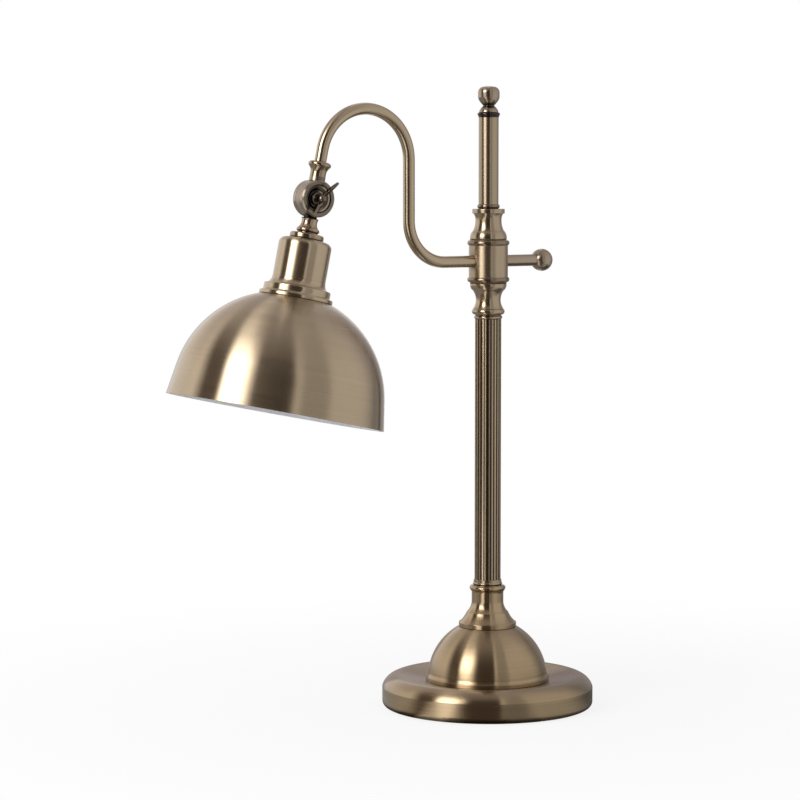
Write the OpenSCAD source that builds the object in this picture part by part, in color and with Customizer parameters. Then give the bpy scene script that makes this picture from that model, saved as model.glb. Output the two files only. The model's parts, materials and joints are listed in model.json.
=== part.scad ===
// Brass desk lamp: a fluted column on a round base carries an S-bent arm with a dome shade.
// Sizes are in millimetres. Z is up and the column stands on the origin.
// The arm reaches out along -X, so the shade hangs on that side; the balance bar points along +X.

/* [Base] */
// Diameter of the round base
base_d = 180; // [160:1:220]
// Height of the raised rim of the base
base_h = 27.5; // [26:0.5:36]
// Rounding of the top edge of the base
base_top_r = 13.5; // [8:0.5:17]
// Rounding at the foot of the base
base_low_r = 5; // [3:0.5:7]
// Slope of the shallow dish in the top of the base, in degrees
dish_slope = 11; // [4:0.5:12]
// Diameter of the flat seat in the middle of the dish
seat_d = 108; // [107:0.5:114]
// Wall of the spun base shell
base_wall = 1.6; // [1:0.1:2.5]
// Diameter of the iron weight
weight_d = 104; // [70:1:105]
// Thickness of the felt pad
felt_t = 1.5; // [1:0.1:2]
// Thickness of the bottom plate
plate_t = 1.5; // [1:0.1:2]
// Bore of the bushing that the cord enters by
cord_bore_d = 6.4; // [5:0.1:6.6]

/* [Dome and column] */
// Radius of the dome on the base
dome_r = 51; // [46:0.5:51.5]
// Wall of the dome
dome_wall = 1.5; // [1:0.1:2]
// Diameter of the foot of the column collar
collar_foot_d = 49; // [42:0.5:54]
// Height of the column collar
collar_h = 36; // [33:0.5:44]
// Diameter of the fluted column
column_d = 22.3; // [20:0.1:25]
// Length of the fluted column
column_len = 227; // [120:1:320]
// Number of flutes around the column
flutes = 24; // [12:1:28]
// Diameter of the threaded rod that holds the stack together
rod_d = 10; // [8:0.5:11]

/* [Swivel and post] */
// Diameter of the swivel barrel
barrel_d = 33.2; // [30:0.1:38]
// Height of the swivel barrel
barrel_h = 35.8; // [30:0.1:44]
// Diameter of the upper post
post_d = 16.9; // [16:0.1:19]
// Length of the upper post
post_len = 77; // [40:1:120]
// Diameter of the finial ball
finial_d = 18.4; // [16:0.1:22]

/* [Arm] */
// Diameter of the arm tube
arm_d = 10; // [8:0.1:12]
// Wall of the arm tube
arm_wall = 1; // [0.8:0.1:1.5]
// Distance from the column to the upright part of the arm
arm_reach = 79.5; // [66:0.5:110]
// Radius of the lower bend of the arm
low_bend_r = 35; // [25:0.5:40]
// Straight length between the two bends
upright_len = 50.5; // [20:0.5:90]
// Radius of the hook over the shade
hook_r = 42; // [36:0.5:55]
// Distance from the end of the hook to the pivot of the shade
hook_drop = 41; // [38:0.5:60]
// Lean of the shade away from the column, in degrees
head_lean = 12; // [4:0.5:16]
// Length of the balance bar outside the barrel
bar_len = 30; // [20:0.5:60]
// Diameter of the ball on the balance bar
ball_d = 19; // [15:0.1:22]

/* [Knuckle] */
// Diameter of the knuckle
knuckle_d = 30.4; // [28.4:0.1:34]
// Width of the knuckle, over both cheeks
knuckle_w = 17; // [16:0.1:20]
// Thickness of the disc that turns between the cheeks
tongue_t = 6; // [5:0.1:6.5]
// Radius that the wings of the key reach
wing_r = 17.5; // [14:0.5:20]

/* [Lamp holder and shade] */
// Outside diameter of the holder cup
cup_d = 43.6; // [42:0.1:46]
// Length of the holder cup
cup_len = 33.2; // [31:0.1:45]
// Diameter of the lower gallery ring
gallery_d = 60.6; // [54:0.2:64]
// Diameter of the shade at its rim
shade_d = 180; // [150:1:210]
// How far the rim stands out beyond the round crown
shade_lip = 3; // [1.5:0.1:6]
// Flare of the shade above its rim, in degrees
shade_flare = 9; // [6:0.5:12]
// Wall of the shade
shade_wall = 1; // [0.8:0.1:1.4]
// Bore of the lamp socket
socket_bore_d = 26.8; // [26:0.1:27]

/* [Hidden] */

// Clearances: fixed pieces slip together, moving pieces run free
slip = 0.05;
run = 0.1;
free = 0.3;

// Base
base_r = base_d / 2;
seat_r = seat_d / 2;
shell_z = 0.6;
crease = 0.5;
edge_r = base_r - base_top_r + crease;
edge_z = base_h - base_top_r;
seat_z = edge_z + base_top_r * cos(dish_slope)
    - (edge_r - base_top_r * sin(dish_slope) - seat_r) * tan(dish_slope);
plate_z = felt_t;
weight_z = plate_z + plate_t;
rod_r = rod_d / 2;
nut_r = 0.98 * rod_d;
nut_h = 0.8 * rod_d;
nut_z = weight_z + 2.5;
rod_washer_t = 2;
rod_hole_r = rod_r + run;
inlet_z = (shell_z + base_low_r + edge_z) / 2;

// Column stack, from the base up
dome_foot_h = 3.6;
dome_z = seat_z + 1.2;
collar_r = collar_foot_d / 2;
collar_z = dome_z + sqrt(dome_r * dome_r - pow(collar_r + 0.4, 2));
column_z = collar_z + collar_h;
column_r = column_d / 2;
column_bore_r = column_r - 1.75;
foot_ring_h = 4.7;
lower_z = column_z + column_len;
lower_h = 30;
swivel_z = lower_z + lower_h;
washer_t = 0.8;
barrel_z = swivel_z + washer_t + free;
barrel_r = barrel_d / 2;
washer_r = barrel_r - 1.1;
sleeve_r = rod_r + 2.5;
upper_z = barrel_z + barrel_h + free + washer_t;
upper_h = 25.2;
post_z = upper_z + upper_h;
post_r = post_d / 2;
post_bore_r = post_r - 1.3;
post_ring_h = 4.2;
cap_z = post_z + post_len;
cap_h = 4.2;
finial_z = cap_z + cap_h;
finial_r = finial_d / 2;
rod_z = nut_z - 1;
rod_top = cap_z - 3;

// Arm
arm_r = arm_d / 2;
arm_z = barrel_z + barrel_h / 2;
socket_x = sleeve_r + run + 1.4;
bend_x = -arm_reach + low_bend_r;
hook_x = -arm_reach - hook_r;
hook_z = arm_z + low_bend_r + upright_len;
pivot_x = hook_x - hook_r * cos(head_lean) - hook_drop * sin(head_lean);
pivot_z = hook_z + hook_r * sin(head_lean) - hook_drop * cos(head_lean);
tail_end = knuckle_d / 2 + 2.8;
wire_r = arm_r / 2;
bar_end = barrel_r + bar_len;
ball_r = ball_d / 2;
ball_x = bar_end + sqrt(ball_r * ball_r - arm_r * arm_r);

// Knuckle, measured from the pivot along the axis of the key
knuckle_r = knuckle_d / 2;
half_w = knuckle_w / 2;
tongue_h = tongue_t / 2;
slot_h = tongue_h + free;
web = 1;
cover_r = knuckle_r - 3.6;
cover_z = half_w - 1.2;
dish_z = slot_h + web + 0.8;
boss_r = arm_r + 1.6;
lug_w = 9;
key_r = 3;
wing_angle = 60;
wing_rise = 30;
wing_half = 2.3;

// Head, measured down the shade axis from the pivot
stem_top = knuckle_r + 1.2;
stem_end = stem_top + 12.8;
cap_ring_h = 5;
cup_top = stem_end + cap_ring_h;
cup_r = cup_d / 2;
cup_wall = 1.2;
cup_end = cup_top + cup_len;
gallery_h = 16;
gallery_r = gallery_d / 2;
land = cup_end + gallery_h;
holder_r = cup_r - cup_wall - 0.4;
lock_nut_h = 4;
holder_top = cup_top + cup_wall + lock_nut_h + 0.5;
holder_end = land + shade_wall + 10;
socket_lip = 6;
socket_len = 29.3;
floor_s = holder_end - socket_lip - socket_len;
holder_neck_h = 0.4 * (floor_s - holder_top);
nipple_r = 4.95;
nipple_in = 6;
contact_r = 6;
contact_h = 2.6;
contact_well = 2.2;
shade_crown_r = shade_d / 2 - shade_lip;
crown_c = land + sqrt(shade_crown_r * shade_crown_r - pow(gallery_r + 0.2, 2));
flare_s = crown_c - shade_crown_r * sin(shade_flare);
flare_r = shade_crown_r * cos(shade_flare);
rim_s = flare_s + (shade_d / 2 - flare_r) / tan(shade_flare);

// Rectangle of a turned outline: radii r0 to r1, heights z0 to z1
module slab(r0, r1, z0, z1) {
    translate([r0, z0]) square([r1 - r0, z1 - z0]);
}

// Half-round moulding filled to the axis
module bead(r, z0, z1) {
    h = z1 - z0;
    slab(0, r - h / 2, z0, z1);
    translate([r - h / 2, z0 + h / 2]) circle(d = h, $fn = 48);
}

// Straight band with rounded edges
module band(r, z0, z1, e) {
    slab(0, r - e, z0, z1);
    slab(0, r, z0 + e, z1 - e);
    translate([r - e, z0 + e]) circle(r = e, $fn = 48);
    translate([r - e, z1 - e]) circle(r = e, $fn = 48);
}

// Hollow curve that leaves the neck upright and opens out to the wide end
module cove(r_neck, r_wide, z_neck, z_wide) {
    dr = r_wide - r_neck;
    dz = z_wide - z_neck;
    bow = (dr * dr + dz * dz) / (2 * dr);
    difference() {
        slab(0, r_neck + bow, min(z_neck, z_wide), max(z_neck, z_wide));
        translate([r_neck + bow, z_neck]) circle(r = bow, $fn = 96);
    }
}

// Swelling curve that is upright at its wide end
module ovolo(r_neck, r_wide, z_neck, z_wide) {
    dr = r_wide - r_neck;
    dz = z_wide - z_neck;
    bow = (dr * dr + dz * dz) / (2 * dr);
    slab(0, r_neck, min(z_neck, z_wide), max(z_neck, z_wide));
    intersection() {
        slab(0, r_wide + 1, min(z_neck, z_wide), max(z_neck, z_wide));
        translate([r_wide - bow, z_wide]) circle(r = bow, $fn = 96);
    }
}

// Nearly straight flare between two radii, hollowed by sag
module flare(r0, r1, z0, z1, sag) {
    dr = r1 - r0;
    dz = z1 - z0;
    chord = sqrt(dr * dr + dz * dz);
    bow = (chord * chord / 4 + sag * sag) / (2 * sag);
    out = (bow - sag) / chord;
    difference() {
        polygon([[0, z0], [r0, z0], [r1, z1], [0, z1]]);
        translate([(r0 + r1) / 2 + out * dz, (z0 + z1) / 2 - out * dr]) circle(r = bow, $fn = 96);
    }
}

// Body of revolution about the column
module turned() {
    rotate_extrude($fn = 120) children();
}

// Places a piece at the pivot, leaning with the shade
module at_pivot() {
    translate([pivot_x, 0, pivot_z]) rotate([0, head_lean, 0]) children();
}

// Places a piece on the axis of the knuckle, its front towards -Y
module at_knuckle() {
    at_pivot() rotate([90, 0, 0]) children();
}

// Body of revolution about the shade axis, its outline measured downwards from the pivot
module hung() {
    at_pivot() mirror([0, 0, 1]) turned() children();
}

module felt_pad() {
    color("DarkOliveGreen") cylinder(r = base_r - base_low_r - 3, h = felt_t, $fn = 120);
}

module bottom_plate() {
    color("DimGray") translate([0, 0, plate_z])
        cylinder(r = base_r - base_low_r - slip, h = plate_t, $fn = 120);
}

module weight() {
    bore_top = nut_z + nut_h + rod_washer_t;
    color("DarkSlateGray") turned() difference() {
        band(min(weight_d / 2, seat_r - 1), weight_z, seat_z - base_wall, 2);
        slab(0, rod_hole_r, weight_z - 1, seat_z);
        slab(0, nut_r + 2, weight_z - 1, bore_top);
    }
}

// Outline of the base with its wall taken off by w
module base_outline(w) {
    top = base_top_r - w;
    low = base_low_r - w;
    slab(0, base_r - w, shell_z + base_low_r, edge_z);
    slab(0, base_r - base_low_r, shell_z + w, shell_z + base_low_r);
    translate([base_r - base_low_r, shell_z + base_low_r]) circle(r = low, $fn = 64);
    intersection() {
        translate([edge_r, edge_z]) circle(r = top, $fn = 96);
        slab(edge_r - top, base_r - w, edge_z, base_h);
    }
    polygon([
        [0, edge_z - 1],
        [edge_r, edge_z - 1],
        [edge_r, edge_z],
        [edge_r - top * sin(dish_slope), edge_z + top * cos(dish_slope)],
        [seat_r + w * tan(dish_slope / 2), seat_z - w],
        [0, seat_z - w]
    ]);
}

module base_shell() {
    color("DarkGoldenrod") difference() {
        turned() difference() {
            base_outline(0);
            base_outline(base_wall);
            slab(0, base_r - base_low_r, shell_z - 1, shell_z + base_low_r);
            slab(0, rod_hole_r, shell_z, base_h);
        }
        translate([base_r - 10, 0, inlet_z]) rotate([0, 90, 0])
            cylinder(d = cord_bore_d + 1.6, h = 20, $fn = 48);
    }
}

module cord_bushing() {
    color("Black") translate([base_r, 0, inlet_z]) rotate([0, 90, 0]) difference() {
        union() {
            cylinder(d = cord_bore_d + 3, h = 1.6, $fn = 48);
            translate([0, 0, -base_wall - 3])
                cylinder(d = cord_bore_d + 1.6 - 2 * slip, h = base_wall + 4, $fn = 48);
        }
        translate([0, 0, -base_wall - 4]) cylinder(d = cord_bore_d, h = base_wall + 8, $fn = 48);
    }
}

// Half-round dome on a coved foot
module base_dome() {
    rise = 7.2;
    neck = sqrt(dome_r * dome_r - rise * rise);
    color("DarkGoldenrod") turned() difference() {
        union() {
            intersection() {
                translate([0, dome_z]) circle(r = dome_r, $fn = 120);
                slab(0, dome_r, dome_z, collar_z);
            }
            slab(0, dome_r, seat_z, dome_z + 1);
            cove(neck, dome_r + 1, dome_z + rise, seat_z + dome_foot_h - 0.3);
            band(dome_r + 1.6, seat_z, seat_z + dome_foot_h, 0.5);
        }
        union() {
            intersection() {
                translate([0, dome_z]) circle(r = dome_r - dome_wall, $fn = 120);
                slab(0, dome_r, dome_z, collar_z + 1);
            }
            slab(0, dome_r - dome_wall, seat_z - 1, dome_z);
        }
    }
}

module column_collar() {
    neck = column_r + 2.4;
    waist = neck + 4.15;
    top = collar_z + collar_h;
    foot = collar_z + 4.2;
    kink = collar_z + 0.35 * collar_h;
    throat = collar_z + 0.61 * collar_h;
    color("Peru") turned() difference() {
        union() {
            band(collar_r, collar_z, foot, 0.6);
            flare(collar_r - 0.7, waist, foot - 0.1, kink, 0.6);
            cove(neck, waist, throat, kink);
            slab(0, neck, throat - 0.5, top - 5.6);
            cove(neck, neck + 1.2, top - 6.8, top - 4.4);
            bead(neck + 1.8, top - 4.6, top - 0.4);
            slab(0, neck, top - 1, top);
        }
        slab(0, rod_hole_r, collar_z - 1, top + 1);
        slab(0, column_r - 0.5, collar_z - 1, top - 6);
    }
}

module foot_ring() {
    color("SaddleBrown") translate([0, 0, column_z]) turned() difference() {
        union() {
            bead(column_r + 1.3, 0, 2.6);
            band(column_r + 0.7, 2, foot_ring_h, 0.3);
        }
        slab(0, column_r + slip, -1, foot_ring_h + 1);
    }
}

// Tube with concave flutes cut along its whole length
module column() {
    color("Peru") translate([0, 0, column_z]) linear_extrude(column_len) difference() {
        circle(r = column_r, $fn = 120);
        circle(r = column_bore_r, $fn = 96);
        for (i = [0 : flutes - 1])
            rotate(i * 360 / flutes) translate([column_r + 0.45, 0])
                circle(d = 2.5 * column_r / flutes * 2, $fn = 24);
    }
}

module lower_collar() {
    neck = column_r - 0.65;
    rim = barrel_r - 1.1;
    spigot = 8;
    throat = 0.54 * lower_h;
    swell = 0.8 * lower_h;
    brim = lower_h - 1;
    color("Peru") translate([0, 0, lower_z]) turned() difference() {
        union() {
            slab(0, column_bore_r - slip, -spigot, 1);
            bead(column_r + 0.9, 0, 3);
            slab(0, column_r - 0.2, 2, 4.6);
            bead(column_r + 2.8, 3.6, 9.2);
            cove(neck, neck + 2.4, throat, 8.8);
            cove(neck, neck + 2.5, throat, swell);
            ovolo(neck + 2.5, rim, swell, brim);
            slab(0, rim, brim, lower_h);
        }
        slab(0, rod_hole_r, -spigot - 1, lower_h + 1);
    }
}

module lower_washer() {
    color("DimGray") translate([0, 0, swivel_z]) difference() {
        cylinder(r = washer_r, h = washer_t, $fn = 96);
        translate([0, 0, -1]) cylinder(r = sleeve_r + slip, h = washer_t + 2, $fn = 96);
    }
}

// Spacer on the rod that the barrel turns on; its window lets the wire through to the arm
module swivel_sleeve() {
    color("Goldenrod") difference() {
        translate([0, 0, swivel_z]) cylinder(r = sleeve_r, h = upper_z - swivel_z, $fn = 96);
        translate([0, 0, swivel_z - 1]) cylinder(r = rod_r + slip, h = upper_z - swivel_z + 2, $fn = 96);
        translate([-sleeve_r - 1, -sleeve_r - 1, arm_z - 4]) cube([sleeve_r + 1, 2 * sleeve_r + 2, 8]);
    }
}

module upper_washer() {
    color("DimGray") translate([0, 0, upper_z - washer_t]) difference() {
        cylinder(r = washer_r, h = washer_t, $fn = 96);
        translate([0, 0, -1]) cylinder(r = sleeve_r + slip, h = washer_t + 2, $fn = 96);
    }
}

module upper_collar() {
    neck = post_r + 2.65;
    rim = barrel_r - 1;
    waist = (neck + rim) / 2;
    throat = 0.6 * upper_h;
    lip = upper_h - 4;
    color("Peru") translate([0, 0, upper_z]) turned() difference() {
        union() {
            slab(0, rim, 0, 0.8);
            ovolo(waist, rim, 6.6, 0.8);
            cove(neck, waist - 0.1, throat, 6.5);
            slab(0, neck, throat - 0.5, throat + 2);
            cove(neck, neck + 2.1, throat + 1.2, lip + 0.6);
            band(neck + 2.7, lip, upper_h, 0.6);
        }
        slab(0, rod_hole_r, -1, upper_h + 1);
    }
}

module post_ring() {
    color("SaddleBrown") translate([0, 0, post_z]) turned() difference() {
        bead(post_r + 1.1, 0, post_ring_h);
        slab(0, post_r + slip, -1, post_ring_h + 1);
    }
}

module upper_post() {
    color("Goldenrod") translate([0, 0, post_z]) difference() {
        cylinder(r = post_r, h = post_len, $fn = 96);
        translate([0, 0, -1]) cylinder(r = post_bore_r, h = post_len + 2, $fn = 96);
    }
}

module post_cap() {
    color("SaddleBrown") translate([0, 0, cap_z]) turned() difference() {
        union() {
            slab(0, post_r + 0.4, 0, 1.5);
            bead(post_r + 1.1, 0.9, cap_h);
            slab(0, post_bore_r - slip, -10, 1);
        }
        slab(0, 3 + slip, -11, cap_h + 1);
        slab(0, rod_r + slip, -11, -2.5);
    }
}

// Round knob with a flattened top on a swelling foot
module finial() {
    neck = 0.576 * finial_r;
    neck_z = 5.6;
    ball_z = neck_z + sqrt(finial_r * finial_r - neck * neck);
    side = 4;
    edge = 5;
    top = ball_z + side + edge;
    color("Goldenrod") translate([0, 0, finial_z]) turned() union() {
        slab(0, 3, -6.5, 1);
        ovolo(neck, post_r - 0.15, neck_z, 0);
        intersection() {
            translate([0, ball_z]) circle(r = finial_r, $fn = 96);
            slab(0, finial_r, neck_z - 0.5, ball_z);
        }
        slab(0, finial_r, ball_z, ball_z + side);
        slab(0, finial_r - edge, ball_z, top);
        intersection() {
            translate([finial_r - edge, ball_z + side]) circle(r = edge, $fn = 64);
            slab(0, finial_r, ball_z, top);
        }
    }
}

// Hollow threaded rod from the base to the post cap
module rod() {
    color("Silver") difference() {
        translate([0, 0, rod_z]) cylinder(r = rod_r, h = rod_top - rod_z, $fn = 64);
        translate([0, 0, rod_z - 1]) cylinder(r = rod_r - 1.5, h = rod_top - rod_z + 2, $fn = 64);
        translate([-rod_r - 1, -rod_r - 1, arm_z - 4]) cube([rod_r + 1, 2 * rod_r + 2, 8]);
    }
}

module rod_washer() {
    color("Silver") translate([0, 0, nut_z + nut_h]) difference() {
        cylinder(r = nut_r + 1, h = rod_washer_t, $fn = 64);
        translate([0, 0, -1]) cylinder(r = rod_hole_r, h = rod_washer_t + 2, $fn = 64);
    }
}

module rod_nut() {
    color("Silver") translate([0, 0, nut_z]) difference() {
        cylinder(r = nut_r, h = nut_h, $fn = 6);
        translate([0, 0, -1]) cylinder(r = rod_r + slip, h = nut_h + 2, $fn = 64);
    }
}

module barrel() {
    ring = barrel_r + 1.3;
    color("Goldenrod") difference() {
        translate([0, 0, barrel_z]) turned() difference() {
            union() {
                bead(ring, 0, 4.8);
                slab(0, barrel_r, 2, barrel_h - 2);
                bead(ring, barrel_h - 4.8, barrel_h);
            }
            slab(0, sleeve_r + run, -1, barrel_h + 1);
        }
        translate([-barrel_r - 5, 0, arm_z]) rotate([0, 90, 0])
            cylinder(r = arm_r + slip, h = barrel_r + 5 - socket_x, $fn = 64);
        translate([-barrel_r, 0, arm_z]) rotate([0, 90, 0])
            cylinder(r = arm_r - arm_wall, h = barrel_r, $fn = 64);
        translate([socket_x, 0, arm_z]) rotate([0, 90, 0])
            cylinder(r = arm_r + slip, h = barrel_r + 5, $fn = 64);
    }
}

// The S of the arm as a solid of the given radius, its two ends drawn out by over;
// the tail below the hook is sized down to slip into the ferrule
module arm_path(r, over) {
    lap = 0.5;
    translate([bend_x, 0, arm_z]) rotate([0, 90, 0])
        cylinder(r = r, h = -socket_x - bend_x + over, $fn = 64);
    translate([bend_x, 0, arm_z + low_bend_r]) rotate([0, -180, 0]) rotate([90, 0, 0])
        rotate_extrude(angle = 90, $fn = 96) translate([low_bend_r, 0]) circle(r = r, $fn = 64);
    translate([-arm_reach, 0, arm_z + low_bend_r]) cylinder(r = r, h = upright_len, $fn = 64);
    translate([hook_x, 0, hook_z]) rotate([90, 0, 0]) {
        rotate_extrude(angle = 180 - head_lean, $fn = 96) translate([hook_r, 0]) circle(r = r, $fn = 64);
        rotate([0, 0, 180 - head_lean]) translate([hook_r, -lap, 0]) rotate([-90, 0, 0])
            cylinder(r = r - slip, h = lap + hook_drop - tail_end + over, $fn = 64);
    }
}

module arm() {
    color("Goldenrod") difference() {
        arm_path(arm_r, 0);
        arm_path(arm_r - arm_wall, 1);
    }
}

module balance_bar() {
    color("Goldenrod") translate([socket_x, 0, arm_z]) rotate([0, 90, 0]) turned() union() {
        slab(0, arm_r, 0, bar_end - socket_x);
        slab(0, 3, 0, bar_end - socket_x + 5);
    }
}

module bar_ball() {
    color("Goldenrod") translate([0, 0, arm_z]) rotate([0, 90, 0]) turned() difference() {
        intersection() {
            translate([0, ball_x]) circle(r = ball_r, $fn = 96);
            slab(0, ball_r, bar_end, ball_x + ball_r);
        }
        slab(0, 3 + slip, bar_end - 1, bar_end + 5.5);
    }
}

// Horn on the end of the arm, seated on the boss of the knuckle
module ferrule() {
    neck = arm_r + 1.5;
    lip = arm_r + 4.4;
    top = tail_end + 12.4;
    color("Peru") at_pivot() turned() difference() {
        union() {
            slab(0, neck, tail_end, tail_end + 4);
            cove(neck, lip - 0.8, tail_end + 3, top - 4);
            bead(lip, top - 4.7, top);
        }
        slab(0, arm_r, tail_end - 1, top + 1);
    }
}

// Fork of two round cheeks with a boss above them that takes the arm
module knuckle_drum() {
    bevel = 1.1;
    color("Sienna") at_knuckle() difference() {
        union() {
            turned() polygon([
                [0, -half_w],
                [knuckle_r - bevel, -half_w],
                [knuckle_r, bevel - half_w],
                [knuckle_r, half_w - bevel],
                [knuckle_r - bevel, half_w],
                [0, half_w]
            ]);
            rotate([-90, 0, 0]) cylinder(r = boss_r, h = tail_end, $fn = 96);
        }
        translate([0, 0, -slot_h]) cylinder(r = knuckle_r + free, h = 2 * slot_h, $fn = 96);
        translate([0, 0, slot_h + web]) cylinder(r = cover_r + slip, h = half_w, $fn = 96);
        translate([0, 0, -half_w + 1]) cylinder(r = key_r + run, h = knuckle_w, $fn = 48);
        rotate([-90, 0, 0]) cylinder(r = wire_r, h = tail_end + 1, $fn = 48);
    }
}

// Dished cover in the front cheek
module knuckle_cover() {
    color("Sienna") at_knuckle() turned() polygon([
        [key_r + run, slot_h + web],
        [cover_r, slot_h + web],
        [cover_r, cover_z - 0.6],
        [cover_r - 0.6, cover_z],
        [cover_r - 2, cover_z],
        [cover_r - 4.6, dish_z],
        [key_r + run, dish_z]
    ]);
}

// One wing of the key: a pointed leaf that rises from the hub
module wing() {
    reach = wing_r / cos(wing_rise);
    bow = (reach * reach / 4 + wing_half * wing_half) / (2 * wing_half);
    linear_extrude(2, center = true) translate([0, 4.6]) rotate(wing_rise) intersection() {
        translate([reach / 2, bow - wing_half]) circle(r = bow, $fn = 96);
        translate([reach / 2, wing_half - bow]) circle(r = bow, $fn = 96);
    }
}

module wing_key() {
    seat = dish_z + free;
    color("SaddleBrown") at_knuckle() union() {
        turned() union() {
            slab(0, key_r, -half_w + 1.6, seat + 1);
            band(5.4, seat, seat + 2.4, 0.6);
            cove(3.6, 4.6, seat + 5, seat + 2);
            slab(0, 3.6, seat + 4, seat + 8.4);
            intersection() {
                translate([0, seat + 8.4]) circle(r = 3.6, $fn = 48);
                slab(0, 3.6, seat + 8.4, seat + 12);
            }
        }
        for (side = [0, 180])
            rotate([0, 0, wing_angle + side]) translate([0, 0, seat]) rotate([90, 0, 0]) wing();
    }
}

// Disc that turns between the cheeks, with the turned stem under it
module knuckle_tongue() {
    color("Peru") difference() {
        union() {
            at_knuckle() translate([0, 0, -tongue_h]) cylinder(r = knuckle_r, h = tongue_t, $fn = 96);
            at_pivot() translate([-lug_w / 2, -tongue_h, -stem_top - 1])
                cube([lug_w, tongue_t, stem_top + 1]);
            hung() union() {
                cove(6.5, 7.1, stem_top + 3.3, stem_top);
                cove(6.5, 8.8, stem_top + 3.3, stem_end - 4.4);
                bead(9.5, stem_end - 4.8, stem_end - 1);
                slab(0, 8.3, stem_end - 2, stem_end);
            }
        }
        at_knuckle() translate([0, 0, -tongue_t]) cylinder(r = key_r + run, h = 2 * tongue_t, $fn = 64);
        hung() slab(0, nipple_r + slip, stem_top + 2, stem_end + 1);
    }
}

module cap_ring() {
    color("Peru") hung() difference() {
        band(14, stem_end, cup_top, 1.5);
        slab(0, nipple_r + slip, stem_end - 1, cup_top + 1);
    }
}

module cup() {
    shoulder = 5.2;
    color("Goldenrod") hung() difference() {
        union() {
            slab(0, cup_r - shoulder, cup_top, cup_end);
            slab(0, cup_r, cup_top + shoulder, cup_end);
            translate([cup_r - shoulder, cup_top + shoulder]) circle(r = shoulder, $fn = 64);
        }
        slab(0, cup_r - shoulder, cup_top + cup_wall, cup_end + 1);
        slab(0, cup_r - cup_wall, cup_top + shoulder, cup_end + 1);
        translate([cup_r - shoulder, cup_top + shoulder]) circle(r = shoulder - cup_wall, $fn = 64);
        slab(0, nipple_r + slip, cup_top - 1, cup_end);
    }
}

module nipple() {
    color("Gold") hung() difference() {
        slab(0, nipple_r, stem_top + 2.5, holder_top + nipple_in);
        slab(0, nipple_r - 1.45, stem_top, holder_top + nipple_in + 1);
    }
}

module lock_nut() {
    color("Silver") at_pivot() translate([0, 0, -cup_top - cup_wall - lock_nut_h]) difference() {
        cylinder(r = 1.64 * nipple_r, h = lock_nut_h, $fn = 6);
        translate([0, 0, -1]) cylinder(r = nipple_r + slip, h = lock_nut_h + 2, $fn = 64);
    }
}

// Stepped ring between the cup and the shade
module gallery() {
    ring = gallery_r - 2.8;
    color("Goldenrod") hung() difference() {
        union() {
            cove(cup_r + 0.2, ring - 0.9, cup_end, cup_end + 6.5);
            band(ring, cup_end + 6, land - 1, 1);
            cove(ring, gallery_r - 0.7, land - 5.8, land - 3.2);
            band(gallery_r, land - 3.6, land, 0.9);
        }
        slab(0, holder_r + free, cup_end - 1, land + 1);
    }
}

// Outline of the shade with its wall taken off by w
module shade_outline(w) {
    join_s = flare_s + w * sin(shade_flare);
    intersection() {
        translate([0, crown_c]) circle(r = shade_crown_r - w, $fn = 120);
        slab(0, shade_crown_r, land + w, join_s);
    }
    polygon([
        [0, join_s - 10],
        [gallery_r, join_s - 10],
        [(shade_crown_r - w) * cos(shade_flare), join_s],
        [shade_d / 2 - w / cos(shade_flare), rim_s],
        [0, rim_s]
    ]);
}

module shade() {
    color("Goldenrod") hung() difference() {
        shade_outline(0);
        shade_outline(shade_wall);
        slab(0, holder_r + free, land - 1, land + 2 * shade_wall);
    }
}

module shade_nut() {
    color("Black") hung() difference() {
        band(gallery_r - 3, land + shade_wall, land + shade_wall + 7, 1);
        slab(0, holder_r + run, land, holder_end);
    }
}

module lamp_holder() {
    color("Black") hung() difference() {
        union() {
            band(holder_r - 3, holder_top, holder_top + 1.5 * holder_neck_h, 2);
            band(holder_r, holder_top + holder_neck_h, holder_end, 0.8);
        }
        slab(0, nipple_r + slip, holder_top - 1, holder_top + nipple_in);
        slab(0, nipple_r - 1.45, holder_top, floor_s + 1);
        slab(0, contact_r + slip, floor_s - contact_well, floor_s + 1);
        slab(0, socket_bore_d / 2 + 0.9, floor_s, holder_end + 1);
    }
}

module screw_shell() {
    color("Gold") hung() difference() {
        slab(0, socket_bore_d / 2 + 0.85, floor_s, floor_s + socket_len);
        slab(0, socket_bore_d / 2, floor_s + 0.8, holder_end);
        slab(0, contact_r + 2, floor_s - 1, floor_s + 2);
    }
}

// Stud in a well in the floor of the holder, below the screw shell
module contact() {
    color("Gold") at_pivot() translate([0, 0, contact_well - floor_s]) difference() {
        union() {
            translate([0, 0, -1]) cylinder(r = contact_r, h = 1, $fn = 48);
            translate([0, 0, -contact_h]) cylinder(r = contact_r / 2, h = contact_h - 0.6, $fn = 48);
        }
        translate([0, 0, -0.4]) cylinder(r = contact_r / 3, h = 1, $fn = 48);
    }
}

felt_pad();
bottom_plate();
weight();
base_shell();
cord_bushing();
base_dome();
column_collar();
foot_ring();
column();
lower_collar();
lower_washer();
swivel_sleeve();
upper_washer();
upper_collar();
post_ring();
upper_post();
post_cap();
finial();
rod();
rod_washer();
rod_nut();
barrel();
arm();
balance_bar();
bar_ball();
ferrule();
knuckle_drum();
knuckle_cover();
wing_key();
knuckle_tongue();
cap_ring();
cup();
nipple();
lock_nut();
gallery();
shade();
shade_nut();
lamp_holder();
screw_shell();
contact();
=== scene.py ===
import json
import math

import bmesh
import bpy
from mathutils import Matrix, Vector


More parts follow.
